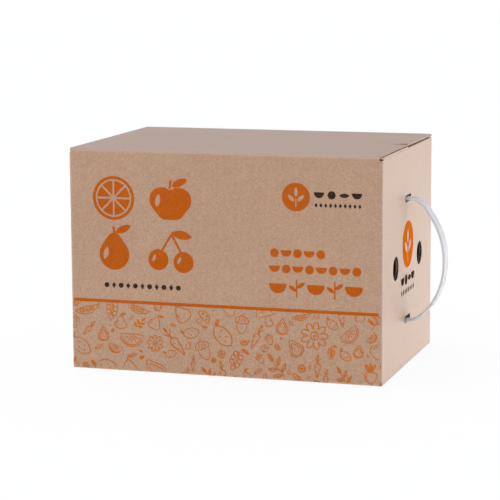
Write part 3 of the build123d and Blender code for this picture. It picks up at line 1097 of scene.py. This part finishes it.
# Random places in the band, each kept if the drawing touches nothing there
def placeDrawings():
    random = np.random.default_rng(layout["seed"])
    reach = halfLength / mm
    lowest, highest = (-reach - 2, -3), (reach + 2, layout["top"] + 2)
    taken = np.zeros((int(2 * reach) + 2, int(layout["top"]) + 2), bool)
    shells = np.linspace(0.1, 1.0, 10)[:, None, None]
    placed = []
    for size, tries, clear in zip(layout["halfSizes"], layout["tries"], layout["clearance"]):
        choice = next(kinds[limit] for limit in kinds if size > limit)
        last = None
        for _ in range(tries):
            kind = choice[random.integers(len(choice))]
            middle = random.uniform(lowest, highest)
            turn, scale = random.uniform(*layout["turn"]), size * random.uniform(*layout["scale"])
            if kind is last:
                continue
            strokes = moved(kind(), *middle, turn, scale)
            solid = (np.concatenate(strokes) - middle)[None] * shells
            aside = [(clear * math.cos(a), clear * math.sin(a)) for a in range(6)]
            cells = np.concatenate([solid.reshape(-1, 2) + middle + shift for shift in aside])
            cells = np.floor(cells).astype(int) + (int(reach) + 1, 0)
            inside = np.all((cells >= 0) & (cells < taken.shape), axis=1)
            cells = cells[inside]
            if inside.mean() < layout["inside"] or taken[cells[:, 0], cells[:, 1]].any():
                continue
            taken[cells[:, 0], cells[:, 1]] = True
            last = kind
            placed.append((strokes, size, random.uniform(*layout["cover"])))
    return placed


pen = {
    "thin": 0.82,
    "broad": 0.36,
    "slant": (0.8, 0.6),
    "end": 0.45,  # share of the width at open ends
    "fade": 0.3,
    "closedWithin": 0.3,
    "room": 0.97,
    "slope": 0.006,
}


# Ribbon of a stroke: offsets to both sides, wider where the pen runs down to the right, thin at open
# ends. A closed line's inner side stops at its middle, so that small rings fill up
def penRibbon(points, width, level):
    normals = leftNormals(points)
    outer = width / 2 * (pen["thin"] + pen["broad"] * np.abs(normals @ np.array(pen["slant"])))
    inwards = points.mean(axis=0) - points
    if np.linalg.norm(points[0] - points[-1]) < pen["closedWithin"]:
        inner = np.minimum(outer, pen["room"] * np.linalg.norm(inwards, axis=1))
    else:
        t = np.linspace(0, 1, len(points))
        whole = np.minimum(ramp(t, 0, pen["fade"]), 1 - ramp(t, 1 - pen["fade"], 1))
        inner = outer = outer * (pen["end"] + (1 - pen["end"]) * whole)
    facing = np.sum(inwards * normals, axis=1) > 0
    left = points + normals * np.where(facing, inner, outer)[:, None]
    right = points - normals * np.where(facing, outer, inner)[:, None]
    sides = np.stack([left, right], axis=1)
    depth = np.broadcast_to((level, level - pen["slope"]), sides.shape[:2])
    ribbon = np.stack([sides[..., 0], depth, sides[..., 1]], axis=-1)
    return ribbon.reshape(-1, 3), gridFaces(len(points), 2)[:, [0, 3, 2, 1]]


# Points of the flat print laid on the panel and on round its upright folds, as far out as their level
def wrapOnPanel(points):
    straight = halfLength - foldRadius
    beyond = np.maximum(np.abs(points[:, 0]) - straight, 0)
    angle = beyond / foldRadius
    out = points[:, 1] - (halfWidth - foldRadius)
    x = np.where(beyond > 0, np.sign(points[:, 0]) * (straight + out * np.sin(angle)), points[:, 0])
    y = np.where(beyond > 0, points[:, 1] - out * (1 - np.cos(angle)), points[:, 1])
    return np.stack([x, y, points[:, 2]], axis=1)


def addDrawings(name, side, placed):
    ribbons, covers = [], []
    share, growth = layout["lineShare"]
    for strokes, size, cover in placed:
        width = layout["line"] * (share + growth * size)
        for layer, points in enumerate(strokes):
            level = halfWidth / mm + layout["proud"] - layout["layer"] * layer
            keep = np.abs(points[:, 0]) < halfLength / mm - layout["fromEnd"]
            keep &= (points[:, 1] > layout["bottom"]) & (points[:, 1] < layout["top"])
            runs = np.split(np.arange(len(points)), np.flatnonzero(np.diff(keep.astype(int))) + 1)
            for run in runs:
                if keep[run[0]] and len(run) > 2:
                    ribbons.append(penRibbon(points[run], width, level))
                    covers.append(np.full(len(run) * 2, cover))
    points, faces = joined(ribbons)
    points = wrapOnPanel(points * mm) * (-side, side, 1)
    piece = addPiece(name, points, faces, materials["line"], "orange_ink", 60)
    shade = piece.data.attributes.new("cover", "FLOAT", "POINT")
    shade.data.foreach_set("value", np.concatenate(covers).astype(np.float32))
    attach(piece, "carton_body")
    print(name, len(placed), "drawings")


placedDrawings = placeDrawings()
for name, side in lidSides:
    addDrawings(name + "Drawings", side, placedDrawings)


# Light and floor
light = {
    "world": 1.14,
    "zenith": 0.625,
    "zenithTint": (0.935, 0.985, 1.15, 1.0),
    "heights": (0.05, 0.75),  # where the world goes over to the zenith
    "lean": -0.42,
    "floorColor": srgb(246, 246, 246),
    "floorGlow": 0.86,
    "floorWhite": 1.055,
    # Painted light: in glossy rays the floor glows at over three times white, a reflected glow that
    # brightens the carton's grazing faces
    "floorGlowInReflections": 3.35,
    "floorRadius": 9.0,
    "floorSides": 64,
    "floorHeight": -0.05 * mm,
}
keyLamp = {"power": 2.45, "size": 0.36, "place": (1.25, 0.75, 0.2), "target": (0.05, 0, 0.12)}
white = (1.0, 1.0, 1.0, 1.0)


def addKeyLamp():
    lamp = bpy.data.lights.new("keyLamp", "AREA")
    lamp.shape = "DISK"
    lamp.size = keyLamp["size"]
    lamp.energy = keyLamp["power"]
    holder = addObject("keyLamp", lamp)
    holder.location = keyLamp["place"]
    holder.visible_camera = False
    holder.rotation_mode = "QUATERNION"
    aim = Vector(keyLamp["target"]) - Vector(keyLamp["place"])
    holder.rotation_quaternion = aim.to_track_quat("-Z", "Y")


def makeWorld():
    world = bpy.data.worlds.new("studio")
    world.use_nodes = True
    world.node_tree.nodes.clear()
    build = NodeBuilder(world.node_tree)
    direction = build.split(build.add("ShaderNodeTexCoord").outputs["Generated"])
    height = direction[2]
    level = build.smooth(height, *light["heights"], light["world"], light["zenith"])
    level = build.times(level, build.math("MULTIPLY_ADD", direction[0], light["lean"], 1.0))
    direct = build.add("ShaderNodeLightPath").outputs["Is Camera Ray"]
    tint = build.mixColor(build.smooth(height, *light["heights"]), white, light["zenithTint"])
    color = build.mixColor(direct, tint, white)
    strength = build.mixFloat(direct, level, 1.0)
    background = build.add("ShaderNodeBackground", {"Color": color, "Strength": strength})
    build.add("ShaderNodeOutputWorld", {"Surface": background.outputs[0]})
    scene.world = world


def makeFloor():
    angle = np.linspace(0, 2 * math.pi, light["floorSides"], endpoint=False)
    rim = light["floorRadius"] * np.stack([np.cos(angle), np.sin(angle), 0 * angle], axis=1)
    rim[:, 2] = light["floorHeight"]
    mesh = bpy.data.meshes.new("floor")
    mesh.from_pydata(rim.tolist(), [], [list(range(len(rim)))])
    floor = addObject("floor", mesh)
    material, build, shader = newMaterial("paleFloor")
    build.fill(shader, {"Base Color": light["floorColor"], "Roughness": 0.9, "Specular IOR Level": 0.0})
    paths = build.add("ShaderNodeLightPath").outputs
    # Painted light: the floor glows far above white in glossy rays and white for camera rays
    strength = build.mixFloat(paths["Is Camera Ray"], light["floorGlowInReflections"], light["floorWhite"])
    glow = build.add("ShaderNodeEmission", {"Color": white, "Strength": strength})
    seen = build.math("MAXIMUM", paths["Is Camera Ray"], paths["Is Glossy Ray"])
    share = build.times(seen, light["floorGlow"])
    mixed = build.add("ShaderNodeMixShader", {0: share, 1: shader.outputs[0], 2: glow.outputs[0]})
    output = next(node for node in material.node_tree.nodes if node.type == "OUTPUT_MATERIAL")
    build.fill(output, {"Surface": mixed.outputs[0]})
    mesh.materials.append(material)
    floor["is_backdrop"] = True


makeWorld()
makeFloor()
addKeyLamp()
print("light set")

# Camera, by where the photographed carton's corners lie in the picture
view = {"place": (0.6469, -2.1020, 0.4677), "turns": (17.28, 9.03, -0.30), "lens": 144.7}


def makeCamera():
    azimuth, elevation, roll = (math.radians(angle) for angle in view["turns"])
    flat = math.cos(elevation)
    back = Vector((math.sin(azimuth) * flat, -math.cos(azimuth) * flat, math.sin(elevation)))
    level = Vector((0, 0, 1)).cross(back).normalized()
    upright = back.cross(level)
    right = level * math.cos(roll) + upright * math.sin(roll)
    up = upright * math.cos(roll) - level * math.sin(roll)
    data = bpy.data.cameras.new("camera")
    data.sensor_width = 36.0
    data.lens = view["lens"]
    holder = addObject("camera", data)
    turned = Matrix((right, up, back)).transposed().to_4x4()
    holder.matrix_world = Matrix.Translation(view["place"]) @ turned
    scene.camera = holder


makeCamera()
scene.view_settings.view_transform = "Standard"

boxes = {"cad": cadBox, "visual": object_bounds()}
{name: [list(corner) for corner in corners] for name, corners in boxes.items()}
